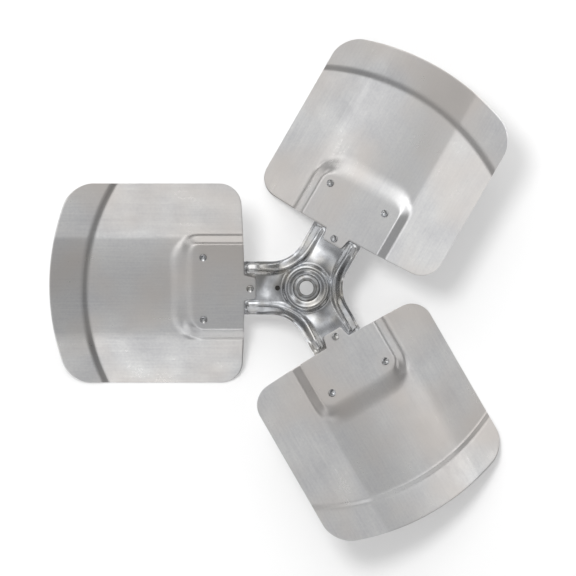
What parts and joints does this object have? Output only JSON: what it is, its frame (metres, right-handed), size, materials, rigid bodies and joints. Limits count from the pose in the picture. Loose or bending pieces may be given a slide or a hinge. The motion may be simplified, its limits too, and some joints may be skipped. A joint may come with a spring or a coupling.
{
  "type": "three-blade axial fan propeller",
  "caption": "Axial fan propeller: pressed aluminium blades riveted to a ribbed steel spider with a bored hub and set screws.",
  "frame": {"origin": "on the shaft's axis, in the plane of the spider's flat web, within 3 mm of the centre of volume", "axes": "+Z along the shaft's axis, out of the face that carries the blades; one blade points to -X, the others 60 degrees either side of +X"},
  "size_m": [0.4039, 0.4441, 0.0941],
  "materials": {
    "aluminium": "mill finish, fine rolling lines",
    "zinc": "bright zinc plate",
    "hub_steel": "turned and zinc plated",
    "screw_steel": "black oxide"
  },
  "bodies": {
    "rotor": {"spider": "zinc", "hub": "hub_steel", "blade_west": "aluminium", "rivet_west_inner": "zinc", "rivet_west_left": "zinc", "rivet_west_right": "zinc", "blade_northeast": "aluminium", "rivet_northeast_inner": "zinc", "rivet_northeast_left": "zinc", "rivet_northeast_right": "zinc", "blade_southeast": "aluminium", "rivet_southeast_inner": "zinc", "rivet_southeast_left": "zinc", "rivet_southeast_right": "zinc"},
    "screw_a": {"set_screw_a": "screw_steel"},
    "screw_b": {"set_screw_b": "screw_steel"}
  },
  "joints": [
    {"name": "set_screw_a_travel", "type": "slide", "parent": "rotor", "child": "screw_a", "axis": [1, 0, 0], "range_m": [-0.0025, 0.006]},
    {"name": "set_screw_b_travel", "type": "slide", "parent": "rotor", "child": "screw_b", "axis": [-0.5, 0.866, 0], "range_m": [-0.0025, 0.006]}
  ]
}
